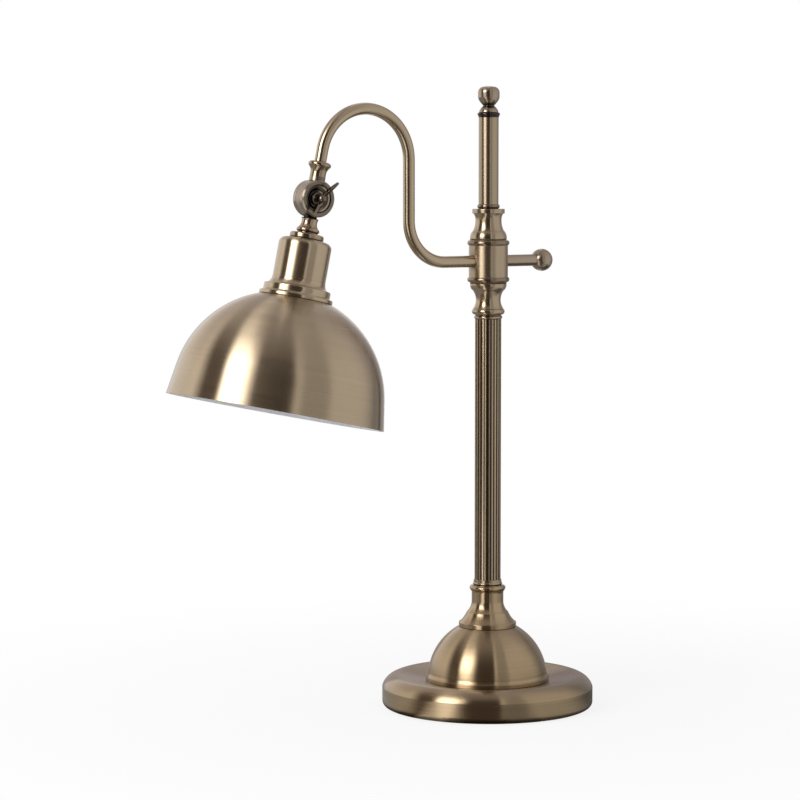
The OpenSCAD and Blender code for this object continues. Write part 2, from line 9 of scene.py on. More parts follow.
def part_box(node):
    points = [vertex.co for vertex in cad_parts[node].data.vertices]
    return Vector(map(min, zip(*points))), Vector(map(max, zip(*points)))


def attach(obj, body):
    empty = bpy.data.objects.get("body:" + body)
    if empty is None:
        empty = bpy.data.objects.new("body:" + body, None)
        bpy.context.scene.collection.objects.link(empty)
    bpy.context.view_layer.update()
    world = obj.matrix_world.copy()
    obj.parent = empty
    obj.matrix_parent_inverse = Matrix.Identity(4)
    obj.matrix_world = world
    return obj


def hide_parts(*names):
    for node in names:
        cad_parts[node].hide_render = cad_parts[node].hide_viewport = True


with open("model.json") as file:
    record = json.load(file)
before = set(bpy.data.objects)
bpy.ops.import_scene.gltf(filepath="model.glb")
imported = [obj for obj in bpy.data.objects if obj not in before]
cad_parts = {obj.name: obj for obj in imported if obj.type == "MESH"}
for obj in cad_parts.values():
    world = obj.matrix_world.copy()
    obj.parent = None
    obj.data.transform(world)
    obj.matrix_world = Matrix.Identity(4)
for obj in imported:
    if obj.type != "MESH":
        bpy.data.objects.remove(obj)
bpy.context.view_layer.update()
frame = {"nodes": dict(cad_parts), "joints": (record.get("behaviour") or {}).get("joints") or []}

scene = bpy.context.scene
scene.view_settings.view_transform = "Standard"
nodes = frame["nodes"]
joints = {j["name"]: j for j in frame["joints"]}

# Objects are in metres; outlines and the places that shaders read are in millimetres
MM = 1000.0
ORIGIN = Vector((0, 0, 0))
EAST = Vector((1, 0, 0))
NORTH = Vector((0, 1, 0))
UP = Vector((0, 0, 1))

# The knuckle, the direction down the axis of the shade, and the height of the arm
PIVOT = Vector(joints["shade_tilt"]["pos_m"])
LEAN = math.radians(12)
DOWN = Vector((-math.sin(LEAN), 0, -math.cos(LEAN)))
ARM_Z = joints["arm_swivel"]["pos_m"][2]


# Camera, where the photograph was taken from

CAMERA_AT = (-1.38601, -2.076926, 0.472541)
CAMERA_AZ, CAMERA_EL = math.radians(-32), math.radians(4.8)
LENS, SENSOR, CLIP_END = 132.6, 36, 60


def make_camera():
    az, el = CAMERA_AZ, CAMERA_EL
    right = Vector((math.cos(az), math.sin(az), 0))
    back = Vector((math.sin(az) * math.cos(el), -math.cos(az) * math.cos(el), math.sin(el)))
    turn = Matrix((right, back.cross(right), back)).transposed()
    data = bpy.data.cameras.new("camera")
    data.sensor_width = SENSOR
    data.lens = LENS
    data.clip_end = CLIP_END
    camera = bpy.data.objects.new("camera", data)
    scene.collection.objects.link(camera)
    camera.matrix_world = Matrix.Translation(CAMERA_AT) @ turn.to_4x4()
    scene.camera = camera


make_camera()


# Shader helpers

class Shader:
    """A node tree with short calls for the nodes that the materials use."""

    def __init__(self, owner, clear=True):
        owner.use_nodes = True
        self.owner = owner
        self.tree = owner.node_tree
        if clear:
            self.tree.nodes.clear()

    def put(self, socket, value):
        if isinstance(value, bpy.types.NodeSocket):
            self.tree.links.new(value, socket)
        elif isinstance(value, (tuple, list, Vector)):
            value = tuple(value)
            if len(value) == 3 and len(socket.default_value) == 4:
                value += (1,)
            socket.default_value = value
        else:
            socket.default_value = value

    def node(self, kind, inputs=None, **props):
        n = self.tree.nodes.new("ShaderNode" + kind)
        for k, v in props.items():
            setattr(n, k, v)
        for k, v in (inputs or {}).items():
            self.put(n.inputs[k], v)
        return n

    def math(self, op, a, b=0.5, clamp=False):
        return self.node("Math", {0: a, 1: b}, operation=op, use_clamp=clamp).outputs[0]

    def vec(self, op, a, b=None, scale=None):
        n = self.node("VectorMath", {0: a}, operation=op)
        if b is not None:
            self.put(n.inputs[1], b)
        if scale is not None:
            self.put(n.inputs["Scale"], scale)
        return n.outputs["Value" if op in ("DOT_PRODUCT", "LENGTH") else "Vector"]

    def mix(self, fac, a, b):
        n = self.node("Mix", data_type="RGBA", clamp_factor=True)
        self.put(n.inputs[0], fac)
        self.put(n.inputs[6], a)
        self.put(n.inputs[7], b)
        return n.outputs[2]

    def span(self, value, lo, hi, to_lo=0.0, to_hi=1.0, kind="SMOOTHSTEP"):
        inputs = {"Value": value, "From Min": lo, "From Max": hi, "To Min": to_lo, "To Max": to_hi}
        return self.node("MapRange", inputs, interpolation_type=kind, clamp=True).outputs[0]

    def noise(self, vector, scale=1.0, detail=2.0, rough=0.5):
        inputs = {"Vector": vector, "Scale": scale, "Detail": detail, "Roughness": rough}
        return self.node("TexNoise", inputs).outputs["Fac"]

    def ramp(self, value, stops):
        n = self.node("ValToRGB", {"Fac": value})
        elements = n.color_ramp.elements
        while len(elements) < len(stops):
            elements.new(0.5)
        for e, (at, colour) in zip(elements, stops):
            e.position = at
            e.color = tuple(colour) + (1,)
        return n.outputs["Color"]

    def to_world(self, vector, kind="VECTOR"):
        n = self.node("VectorTransform", {"Vector": vector}, vector_type=kind,
                      convert_from="OBJECT", convert_to="WORLD")
        return n.outputs[0]

    def emission(self, colour, strength=1.0):
        return self.node("Emission", {"Color": colour, "Strength": strength}).outputs[0]

    def out(self, shader, kind="OutputMaterial"):
        self.put(self.node(kind).inputs["Surface"], shader)
        return self.owner


def place_mm(s):
    """Position on the piece, in millimetres."""
    return s.vec("SCALE", s.node("TexCoord").outputs["Object"], scale=MM)


def turned(s, centre, axis):
    """Height along the axis, distance from it, the part of the position across it, and the way round it."""
    rel = s.vec("SUBTRACT", place_mm(s), Vector(centre) * MM)
    h = s.vec("DOT_PRODUCT", rel, axis)
    across = s.vec("SUBTRACT", rel, s.vec("SCALE", axis, scale=h))
    r = s.vec("LENGTH", across)
    around = s.to_world(s.vec("CROSS_PRODUCT", axis, across))
    return h, r, across, around


def shade_of(colour, k):
    return tuple(c * k for c in colour)


# Brass

BRASS = (0.50, 0.395, 0.27)
WARM = (0.44, 0.325, 0.195)
AGED = (0.43, 0.335, 0.225)
ROSE = (0.40, 0.315, 0.235)
KNOB = (0.41, 0.335, 0.26)
BROWN = (0.25, 0.19, 0.13)
UMBER = (0.19, 0.155, 0.12)
BRONZE = (0.05, 0.04, 0.035)
BLACK = (0.012, 0.010, 0.009)
# Dark of the lacquer and of the painted shade in the hollows
PATINA_SHADE_COLOUR = (0.035, 0.02, 0.012)
RUBBED = (0.62, 0.48, 0.30)
TARNISH = (0.86, 0.78, 0.66)

# Noise scales per millimetre: the tarnish, and the brush lines along and across their run
CLOUD = 0.045
BROAD_ALONG, BROAD_ACROSS = 0.005, 0.55
FINE_ALONG, FINE_ACROSS = 0.012, 2.4
# Share of the distance from the axis in the run of the lines, so that they show on flat faces too
SLANT = 1.7
WORN_EDGE = 0.0011


def brush_lines(s, p, spin):
    """Lines round the axis of a turned piece, or an even grain where it has none."""
    if spin:
        h, r, across, _ = turned(s, *spin)
        run = s.vec("SCALE", spin[1], scale=s.math("SUBTRACT", h, s.math("MULTIPLY", r, SLANT)))

        def lines(along, over, detail):
            place = s.vec("ADD", s.vec("SCALE", across, scale=along), s.vec("SCALE", run, scale=over))
            return s.noise(place, 1.0, detail, 0.6)

        broad = lines(BROAD_ALONG, BROAD_ACROSS, 3.0)
        fine = lines(FINE_ALONG, FINE_ACROSS, 2.0)
    else:
        broad = s.noise(p, 0.12, 3.0, 0.6)
        fine = s.noise(p, 1.4, 2.0, 0.6)
    both = s.math("ADD", s.math("MULTIPLY", broad, 0.7), s.math("MULTIPLY", fine, 0.3))
    return s.span(both, 0.3, 0.7, 0.0, 1.0, "LINEAR")


def shine(s, spin, bent, stretch):
    """Sockets that draw the shine out across the brush lines."""
    if spin:
        return {"Tangent": turned(s, *spin)[3], "Anisotropic": stretch, "Anisotropic Rotation": 0.25}
    if bent:
        tube = s.vec("CROSS_PRODUCT", s.node("TexCoord").outputs["Normal"], NORTH)
        return {"Tangent": s.to_world(s.vec("NORMALIZE", tube)), "Anisotropic": stretch}
    return {}


def patina_and_shade_in_hollows(s, cloud, patina_and_shade, reach):
    """How thick the dark lacquer and the painted shade lie in the hollows."""
    open_sky = s.node("AmbientOcclusion", {"Distance": reach}, samples=12).outputs["AO"]
    uneven = s.math("ADD", 0.8, s.math("MULTIPLY", cloud, 0.4))
    grime_and_shade = s.math("MULTIPLY", s.span(open_sky, 0.25, 0.92, 1.0, 0.0), uneven, clamp=True)
    return s.math("MULTIPLY", grime_and_shade, patina_and_shade)


def on_edges(s, p, wear):
    """How far an edge is rubbed bright."""
    soft = s.node("Bevel", {"Radius": WORN_EDGE}, samples=8).outputs["Normal"]
    flat = s.vec("DOT_PRODUCT", soft, s.node("NewGeometry").outputs["Normal"])
    rub = s.span(s.math("SUBTRACT", 1.0, flat), 0.01, 0.16)
    patchy = s.span(s.noise(p, 0.5, 3.0), 0.36, 0.6, 0.25, 1.0)
    return s.math("MULTIPLY", s.math("MULTIPLY", rub, patchy), wear)


def brass(name, colour, rough, spin=None, stretch=0.0, patina_and_shade=0.0, wear=0.0, reach=0.006, streak=1.0,
          cloudy=0.5, lacquer=0.15, zone=None, ease=0.0, edge=0.0003, bent=False):
    """Brass plate. spin is the centre and axis that the piece was brushed round; stretch draws the shine
    out across the brush lines; patina is the dark lacquer left in the hollows, and the painted shade laid
    there with it, within reach; wear is the bright rub on edges; streak is how strong the brush lines are;
    cloudy is the uneven tarnish under the clear lacquer; zone changes the colour and the gloss of some part
    of the piece, and paints shade on some; ease rounds the shading of shallow flutes towards the tube that
    they are cut in; edge is the radius of the edges; bent marks a tube that is bent in the plane square to
    NORTH and brushed round itself."""
    s = Shader(bpy.data.materials.new(name))
    p = place_mm(s)
    cloud = s.noise(p, CLOUD, 4.0, 0.55)
    lines = brush_lines(s, p, spin)
    tint = s.mix(lines, shade_of(colour, 1 - 0.06 * streak), shade_of(colour, 1 + 0.05 * streak))
    tarnish = tuple(c * t for c, t in zip(colour, TARNISH))
    tint = s.mix(s.span(cloud, 0.4, 0.75, 0.0, 0.3 * cloudy), tint, tarnish)
    gloss = s.math("ADD", s.span(lines, 0.0, 1.0, rough - 0.02 * streak, rough + 0.02 * streak, "LINEAR"),
                   s.math("MULTIPLY", s.math("SUBTRACT", cloud, 0.5), 0.08 * cloudy))
    if patina_and_shade:
        # Dark lacquer and painted shade in the hollows, darkest where little open sky is seen
        grime_and_shade = patina_and_shade_in_hollows(s, cloud, patina_and_shade, reach)
        tint = s.mix(grime_and_shade, tint, PATINA_SHADE_COLOUR)
        gloss = s.math("ADD", gloss, s.math("MULTIPLY", grime_and_shade, 0.2))
    if wear:
        tint = s.mix(on_edges(s, p, wear), tint, RUBBED)
    if zone:
        tint, gloss = zone(s, tint, gloss)
    normal = s.node("NewGeometry").outputs["Normal"]
    if edge:
        normal = s.node("Bevel", {"Radius": edge}, samples=6).outputs["Normal"]
    if ease:
        out = s.vec("NORMALIZE", s.to_world(turned(s, *spin)[2], "NORMAL"))
        normal = s.vec("ADD", s.vec("SCALE", out, scale=ease), s.vec("SCALE", normal, scale=1 - ease))
        normal = s.vec("NORMALIZE", normal)
    bump = s.node("Bump", {"Height": lines, "Strength": 0.03 * streak, "Distance": 0.0002, "Normal": normal})
    return s.out(s.node("BsdfPrincipled", {
        "Base Color": tint,
        "Metallic": 1.0,
        "Roughness": gloss,
        "Normal": bump.outputs["Normal"],
        "Coat Weight": lacquer,
        "Coat Roughness": 0.1,
        "Coat IOR": 1.45,
        **shine(s, spin, bent, stretch),
    }).outputs[0])


# Centre and axis that each turned piece was brushed round

COLUMN = (ORIGIN, UP)
HEAD = (PIVOT, DOWN)
BAR = (Vector((0, 0, ARM_Z)), EAST)
KNUCKLE = (PIVOT, NORTH)

# Sizes of the solids, in millimetres
COLUMN_R = 11.15
KNUCKLE_R = 15.2
BARREL_R = 16.6
FINIAL_SPIGOT = 6.5
FINIAL_LOW, FINIAL_HIGH = (corner[2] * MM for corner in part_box("finial"))
FINIAL_FOOT = FINIAL_LOW + FINIAL_SPIGOT

# Height of the finial's neck over its foot, and where the painted shadow in the tongue's slot ends, from the
# pivot
FINIAL_NECK = 5.55
SLOT_END = 17.0


def shade_in_flutes(s, tint, gloss):
    """Painted shade in the bottom of the flutes."""
    flute_shade = s.span(turned(s, *COLUMN)[1], COLUMN_R - 0.67, COLUMN_R - 0.19, 0.97, 0.0)
    return s.mix(flute_shade, tint, (0.04, 0.026, 0.016)), s.math("ADD", gloss, s.math("MULTIPLY", flute_shade, 0.12))


def on_barrel(s, tint, gloss):
    """Darker brown on the beads at the two ends."""
    bead = s.span(turned(s, *COLUMN)[1], BARREL_R + 0.1, BARREL_R + 0.6, 0.0, 0.6)
    return s.mix(bead, tint, (0.15, 0.1, 0.065)), s.math("SUBTRACT", gloss, s.math("MULTIPLY", bead, 0.15))


def shade_in_finial_neck(s, tint, gloss):
    """Painted shade in the neck under the knob."""
    off = s.math("SUBTRACT", turned(s, *COLUMN)[0], FINIAL_FOOT + FINIAL_NECK)
    neck = s.span(s.math("ABSOLUTE", off), 0.8, 3.6, 0.85, 0.0)
    return s.mix(neck, tint, (0.06, 0.045, 0.035)), gloss


def on_tongue(s, tint, gloss):
    """Bronze disc between the cheeks, and painted shadow in the slot between it and the turned stem."""
    down = turned(s, *HEAD)[0]
    disc = s.span(turned(s, *KNUCKLE)[1], KNUCKLE_R + 0.1, KNUCKLE_R + 0.3, 1.0, 0.0)
    slot_shadow = s.math("MULTIPLY", s.span(down, KNUCKLE_R - 1.0, KNUCKLE_R - 0.5),
                  s.span(down, SLOT_END, SLOT_END + 0.2, 1.0, 0.0))
    tint = s.mix(slot_shadow, s.mix(disc, tint, KNOB), BLACK)
    return tint, s.math("ADD", gloss, s.math("MULTIPLY", s.math("MAXIMUM", disc, slot_shadow), 0.16))


def painted_reflection_on_drum(s, tint, gloss):
    """Painted dark reflection on the face of the drum that looks south, towards the dark front of the
    studio.
    """
    face = s.vec("DOT_PRODUCT", s.node("TexCoord").outputs["Normal"], -NORTH)
    return s.mix(s.span(face, 0.75, 0.97, 0.0, 0.6), tint, (0.075, 0.06, 0.05)), gloss


def painted_shade_on_cover(s, tint, gloss):
    """Painted shade on the dish: nearly black on its west side, where the shade falls, and its own colour on
    the east.
    """
    side = s.vec("DOT_PRODUCT", s.vec("SUBTRACT", place_mm(s), PIVOT * MM), EAST)
    return s.mix(s.span(side, -1.0, 5.0), s.mix(0.85, tint, BLACK), tint), gloss


looks = {
    "base_shell": brass("satin_brass_base", shade_of(WARM, 0.9), 0.25, COLUMN, stretch=1.0, patina_and_shade=0.15,
                        streak=1.5, lacquer=0.3),
    "base_dome": brass("satin_brass_dome", shade_of(WARM, 0.96), 0.24, COLUMN, stretch=1.0, patina_and_shade=0.3,
                       streak=1.5),
    "column_collar": brass("aged_brass_collar", WARM, 0.2, COLUMN, stretch=0.95, patina_and_shade=0.75, wear=0.2,
                           streak=0.3),
    "foot_ring": brass("aged_brass_ring", AGED, 0.2, COLUMN, stretch=0.8, patina_and_shade=0.9, reach=0.003,
                       streak=0.3),
    "column": brass("aged_brass_column", shade_of(AGED, 1.25), 0.3, COLUMN, stretch=0.92, streak=0.1,
                    cloudy=0.2, zone=shade_in_flutes, ease=0.9, edge=0),
    "barrel": brass("satin_brass_barrel", shade_of(BRASS, 0.95), 0.34, COLUMN, stretch=0.95, patina_and_shade=0.9,
                    wear=0.15, reach=0.008, streak=0.4, zone=on_barrel),
    "post_ring": brass("dark_bronze_ring", BROWN, 0.2, COLUMN, stretch=0.5, patina_and_shade=0.9, wear=0.2,
                       reach=0.003, streak=0.2),
    "upper_post": brass("satin_brass_post", shade_of(BRASS, 0.82), 0.28, COLUMN, stretch=0.92, patina_and_shade=0.4,
                        streak=0.05, cloudy=0.1, edge=0),
    "post_cap": brass("dark_bronze_cap", BRONZE, 0.17, COLUMN, stretch=0.4, patina_and_shade=0.6, wear=0.1,
                      streak=0.2),
    "finial": brass("aged_brass_finial", shade_of(ROSE, 0.95), 0.22, COLUMN, stretch=0.6, patina_and_shade=0.95,
                    wear=0.15, streak=0.2, cloudy=0.3, zone=shade_in_finial_neck),
    "arm": brass("satin_brass_arm", shade_of(BRASS, 0.95), 0.21, stretch=0.85, patina_and_shade=0.4, streak=0.05,
                 cloudy=0.1, edge=0, bent=True),
    "balance_bar": brass("satin_brass_bar", ROSE, 0.22, BAR, stretch=0.4, patina_and_shade=0.8, streak=0.3),
    "bar_ball": brass("satin_brass_ball", shade_of(ROSE, 0.95), 0.24, BAR, stretch=0.3, patina_and_shade=0.9,
                      streak=0.3),
    "ferrule": brass("aged_brass_ferrule", shade_of(AGED, 0.88), 0.19, HEAD, stretch=0.8, patina_and_shade=0.8,
                     wear=0.2, streak=0.2, cloudy=0.3),
    "knuckle_drum": brass("dark_bronze_drum", KNOB, 0.3, KNUCKLE, stretch=0.6, patina_and_shade=0.8, wear=0.4,
                          reach=0.004, streak=0.5, zone=painted_reflection_on_drum),
    "knuckle_cover": brass("dark_bronze_cover", KNOB, 0.26, KNUCKLE, stretch=0.4, patina_and_shade=0.6, wear=0.3,
                           reach=0.004, streak=0.5, zone=painted_shade_on_cover),
    "wing_key": brass("dark_bronze_key", UMBER, 0.22, patina_and_shade=0.5, wear=0.4, reach=0.003, streak=0.1,
                      cloudy=0.2),
    "knuckle_tongue": brass("aged_brass_stem", AGED, 0.2, HEAD, stretch=0.85, patina_and_shade=0.8, wear=0.2,
                            streak=0.2, cloudy=0.3, zone=on_tongue),
    "cap_ring": brass("aged_brass_cap_ring", AGED, 0.2, HEAD, stretch=0.85, patina_and_shade=0.8, wear=0.2,
                      streak=0.2, cloudy=0.3),
    "cup": brass("satin_brass_cup", BRASS, 0.23, HEAD, stretch=1.0, patina_and_shade=0.4, streak=0.35),
    "gallery": brass("satin_brass_gallery", BRASS, 0.21, HEAD, stretch=0.95, patina_and_shade=0.6, wear=0.2,
                     streak=0.35),
}
looks["lower_collar"] = looks["upper_collar"] = brass(
    "aged_brass_swivel", AGED, 0.2, COLUMN, stretch=0.9, patina_and_shade=0.9, wear=0.2, streak=0.2, cloudy=0.3)

# Centre of the round of the shade
CROWN = PIVOT + DOWN * 0.16488
ENAMEL, ENAMEL_GREY = (0.86, 0.86, 0.875), (0.84, 0.84, 0.852)


def shade_material():
    """Brushed brass outside, white enamel inside."""
    mat = brass("satin_brass_shade", BRASS, 0.25, HEAD, stretch=1.0, patina_and_shade=0.3, streak=1.3)
    s = Shader(mat, clear=False)
    output = next(n for n in s.tree.nodes if n.type == "OUTPUT_MATERIAL")
    outside = output.inputs["Surface"].links[0].from_socket
    coord = s.node("TexCoord")
    outwards = s.vec("SUBTRACT", coord.outputs["Object"], CROWN)
    inside = s.math("LESS_THAN", s.vec("DOT_PRODUCT", coord.outputs["Normal"], outwards), 0.0)
    p = place_mm(s)
    peel = s.noise(p, 0.35, 2.0)
    specks = s.noise(p, 0.06, 4.0)
    bump = s.node("Bump", {"Height": peel, "Strength": 0.05, "Distance": 0.0005})
    enamel = s.node("BsdfPrincipled", {
        "Base Color": s.mix(s.span(specks, 0.45, 0.7), ENAMEL, ENAMEL_GREY),
        "Roughness": s.span(peel, 0.3, 0.7, 0.22, 0.34),
        "Coat Weight": 0.4,
        "Normal": bump.outputs["Normal"],
    })
    both = s.node("MixShader", {0: inside, 1: outside, 2: enamel.outputs[0]})
    s.put(output.inputs["Surface"], both.outputs[0])
    return mat


looks["shade"] = shade_material()


# Hidden and moulded pieces

def plain(name, colour, rough, metal=0.0, grain=0.4, size=0.5, bump=0.1, coat=0.0, sheen=0.0):
    """Moulded, cast or pressed stuff: mottled colour, uneven gloss and a fine grain."""
    s = Shader(bpy.data.materials.new(name))
    p = place_mm(s)
    mottle = s.noise(p, size * 0.12, 4.0, 0.6)
    grit = s.noise(p, size * 2.4, 3.0, 0.6)
    height = s.math("ADD", s.math("MULTIPLY", grit, 0.7), s.math("MULTIPLY", mottle, 0.3))
    soft = s.node("Bevel", {"Radius": 0.0003}, samples=4).outputs["Normal"]
    bumped = s.node("Bump", {"Height": height, "Strength": bump, "Distance": 0.0006, "Normal": soft})
    return s.out(s.node("BsdfPrincipled", {
        "Base Color": s.mix(s.span(mottle, 0.35, 0.7), shade_of(colour, 1 - grain),
                            shade_of(colour, 1 + grain)),
        "Metallic": metal,
        "Roughness": s.span(grit, 0.3, 0.7, max(0.05, rough - 0.08), rough + 0.1, "LINEAR"),
        "Coat Weight": coat,
        "Sheen Weight": sheen,
        "Normal": bumped.outputs["Normal"],
    }).outputs[0])


looks["felt_pad"] = plain("felt", (0.030, 0.040, 0.030), 0.9, grain=0.35, size=1.6, bump=0.8, sheen=0.4)
looks["bottom_plate"] = plain("black_sheet", (0.022, 0.022, 0.023), 0.42, size=0.8, bump=0.12, coat=0.2)
looks["weight"] = plain("iron", (0.11, 0.105, 0.10), 0.62, metal=0.8, size=0.7, bump=0.6)
looks["cord_bushing"] = plain("black_nylon", (0.016, 0.016, 0.017), 0.45, size=1.5, bump=0.1)
looks["lower_washer"] = looks["upper_washer"] = plain("fibre", (0.15, 0.08, 0.05), 0.7, size=1.8, bump=0.3)
looks["shade_nut"] = looks["lamp_holder"] = plain(
    "black_phenolic", (0.018, 0.017, 0.017), 0.3, size=1.0, bump=0.06, coat=0.3)
for n in ("rod", "rod_washer", "rod_nut", "lock_nut"):
    looks[n] = plain("zinc_steel_" + n, (0.55, 0.56, 0.57), 0.32, metal=1.0, grain=0.12, size=1.2, bump=0.1)
for n in ("swivel_sleeve", "nipple", "screw_shell", "contact"):
    looks[n] = plain("plain_brass_" + n, (0.68, 0.51, 0.25), 0.28, metal=1.0, grain=0.1, size=1.2, bump=0.08)

for name, obj in nodes.items():
    obj.data.materials.clear()
    obj.data.materials.append(looks[name])


# Pieces that stand for a plainer solid; lengths in millimetres, angles in degrees

SAME_POINT = 1e-6


def mesh_object(name, verts, faces):
    mesh = bpy.data.meshes.new(name)
    mesh.from_pydata(verts, [], faces)
    mesh.update()
    obj = bpy.data.objects.new(name, mesh)
    scene.collection.objects.link(obj)
    return obj


def lathe(name, outline, angles, centre, axis, side):
    """Closed mesh of an outline turned round an axis. outline gives (radius, height) points for an angle,
    so that it may change on its way round."""
    front = axis.cross(side)
    count = len(outline(0))
    verts, faces = [], []
    for a in angles:
        out = side * math.cos(math.radians(a)) + front * math.sin(math.radians(a))
        verts += [tuple(centre + (axis * h + out * r) / MM) for r, h in outline(a)]
    for u in range(len(angles)):
        i, j = u * count, (u + 1) % len(angles) * count
        faces += [(i + k, i + (k + 1) % count, j + (k + 1) % count, j + k) for k in range(count)]
    piece = mesh_object(name, verts, faces)
    work = bmesh.new()
    work.from_mesh(piece.data)
    bmesh.ops.remove_doubles(work, verts=work.verts, dist=SAME_POINT)
    bmesh.ops.recalc_face_normals(work, faces=work.faces)
    for f in work.faces:
        f.smooth = True
    work.to_mesh(piece.data)
    work.free()
    return piece


def full_turn(count):
    return [360 * u / count for u in range(count)]


def stands_for(piece, body, node):
    piece.data.materials.append(looks[node])
    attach(piece, body)
    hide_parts(node)


def screw_shell():
    """Rolled sheet with the round thread of a 27 mm lamp."""
    top, floor_top, end = 59.1, 59.9, 88.4
    hole, bore, sheet = 8.0, 13.42, 0.3
    depth, pitch, runout, step = 0.5, 3.6, 1.6, 0.36
    lead, lip, corner = 0.6, 0.2, 0.2
    first, last = floor_top + lead, end - lip
    rows = [first + step * i for i in range(int((last - first) / step) + 1)]

    def thread(h, a):
        fade = min(1.0, (h - first) / runout, (last - h) / runout)
        return depth * fade * (0.5 + 0.5 * math.cos(2 * math.pi * (h / pitch + a / 360)))

    def outline(a):
        inside = [(hole, floor_top), (bore - 0.7, floor_top), (bore - corner, floor_top + corner)]
        inside += [(bore + thread(h, a), h) for h in rows] + [(bore + 0.08, end)]
        outside = [(bore + sheet, end)] + [(bore + sheet + thread(h, a), h) for h in reversed(rows)]
        return inside + outside + [(bore + sheet - corner, top + 0.15), (bore - corner, top), (hole, top)]

    piece = lathe("threaded_shell", outline, full_turn(96), PIVOT, DOWN, DOWN.cross(NORTH))
    stands_for(piece, "head", "screw_shell")


def column():
    """Fluted tube with the flutes turned to where the photograph shows them."""
    low, high = (corner[2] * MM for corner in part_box("column"))
    bore, flutes, turned_by = 9.4, 24, -6.0
    cutter, cutter_at = 1.1615, 11.6
    chamfer, end = 0.1, 2
    half_pitch, half_flute = 180 / flutes, 5.4
    steps = (-half_pitch, -half_flute, -4.6, -3.6, -2.4, -1.2, 0.0, 1.2, 2.4, 3.6, 4.6, half_flute)
    angles = [turned_by + 360 * i / flutes + a for i in range(flutes) for a in steps]

    def outline(a):
        off = (a - turned_by + half_pitch) % (2 * half_pitch) - half_pitch
        r = COLUMN_R
        if abs(off) < half_flute - 0.01:
            o = math.radians(off)
            r = cutter_at * math.cos(o) - math.sqrt(cutter ** 2 - (cutter_at * math.sin(o)) ** 2)
        return [(bore, low), (r - chamfer, low), (r, low + chamfer), (r, low + end),
                (r, high - end), (r, high - chamfer), (r - chamfer, high), (bore, high)]

    piece = lathe("fluted_column", outline, angles, ORIGIN, UP, EAST)
    stands_for(piece, "base", "column")


def finial():
    """Knob with a low crown, a hollow neck and a swelling foot."""
    spigot_r, foot_r, neck_r, knob_r = 3.0, 8.2, 4.6, 9.2
    neck, side, top = FINIAL_NECK, 13.2, FINIAL_HIGH - FINIAL_FOOT
    round_r, slope = 5.0, math.radians(16)
    rim = knob_r - round_r * (1 - math.sin(slope))
    crown = rim * math.tan(slope) / 2
    shoulder = top - crown - round_r * math.cos(slope)
    quarter, fine = math.pi / 2, 16
    points = [(0.0, -FINIAL_SPIGOT), (spigot_r, -FINIAL_SPIGOT), (spigot_r, 0.0)]
    for f in (i / fine for i in range(fine)):
        points.append((neck_r + (foot_r - neck_r) * math.cos(quarter * f), neck * f))
    for f in (i / fine for i in range(fine)):
        points.append((neck_r + (knob_r - neck_r) * math.sin(quarter * f), neck + (side - neck) * f))
    for a in ((quarter - slope) * i / fine for i in range(fine + 1)):
        points.append((knob_r - round_r * (1 - math.cos(a)), shoulder + round_r * math.sin(a)))
    for f in (1 - i / fine for i in range(1, fine + 1)):
        points.append((rim * f, top - crown * f * f))
    outline = [(r, FINIAL_FOOT + h) for r, h in points]
    piece = lathe("knob_finial", lambda a: outline, full_turn(96), ORIGIN, UP, EAST)
    stands_for(piece, "base", "finial")


screw_shell()
column()
finial()


# Studio: floor, surround and light; angles are to the right of the camera, lengths in metres

def towards(azimuth, elevation=0):
    """Direction at an angle to the right of the camera and above the floor."""
    a, e = CAMERA_AZ + math.radians(azimuth), math.radians(elevation)
    return Vector((math.sin(a) * math.cos(e), -math.cos(a) * math.cos(e), math.sin(e)))


RIGHT, FRONT, BEHIND = towards(90), towards(0), towards(180)
DEGREES = 180 / math.pi

# Half the side of the floor, the height of the walls and reach of the boards, the angle at which both end
# on either side, and the point that the angles on the walls are seen from
FLOOR = 12.0
REACH = 3.4
EDGE = 172
WALL_CENTRE = (0, 0, 0.2)

DIM = (1.1, 0.9, 0.8)
COOL = (0.97, 0.95, 1.05)
WHITE = (1, 1, 1)

# Grey of the walls by the angle that shows on an upright turned piece, and of the boards by the angle on
# the floor
WALLS = [
    (-172, 0.5, COOL), (-150, 0.95), (-94, 1.12), (-80, 0.12, DIM), (-60, 0.1, DIM), (-52, 1.0), (-40, 1.0),
    (-30, 0.07, DIM), (12.5, 0.06, DIM), (13.5, 0.95), (17, 0.78), (20, 0.48), (38, 0.46), (42, 0.75),
    (97, 0.75), (110, 0.55), (124, 0.3), (172, 0.42, COOL),
]
BOARDS = [
    (-172, 0.3), (-110, 0.34), (-67, 0.48), (-58, 0.12, DIM), (-48, 0.12, DIM), (-43, 1.55), (-27.5, 1.55),
    (-23.5, 0.1, DIM), (9.5, 0.1, DIM), (12.5, 0.22), (28, 0.22), (32, 0.52), (64, 0.52), (80, 0.3),
    (92, 0.12), (115, 0.1), (172, 0.25),
]
# Distance of the walls by the angle: far on the left, where the key light stands, and near on the right
AWAY = [(-172, 3.4), (-20, 3.4), (5, 1.7), (13, 1.37), (25, 0.9), (41, 0.6), (60, 0.55), (172, 0.6)]

CEILING_LEFT, CEILING_RIGHT = (0.8, 0.77, 0.77), (0.56, 0.54, 0.56)
BACK_LEFT, BACK_RIGHT = (0.72, 0.69, 0.7), (0.46, 0.44, 0.5)
CARD_LEFT, CARD_RIGHT = (0.46, 0.42, 0.42), (0.33, 0.30, 0.31)
CARD_AWAY, CARD_TOP, CARD_SIDE = 0.25, 0.12, 0.18
# Boards and card clear the floor by this much
LIE = UP * 0.0006


def sheet_of(name, verts, faces, material):
    """Sheet of the studio. Its glow isn't sampled as a light, so that the reflections stay clean."""
    obj = mesh_object(name, verts, faces)
    material.cycles.emission_sampling = "NONE"
    obj.data.materials.append(material)
    return obj


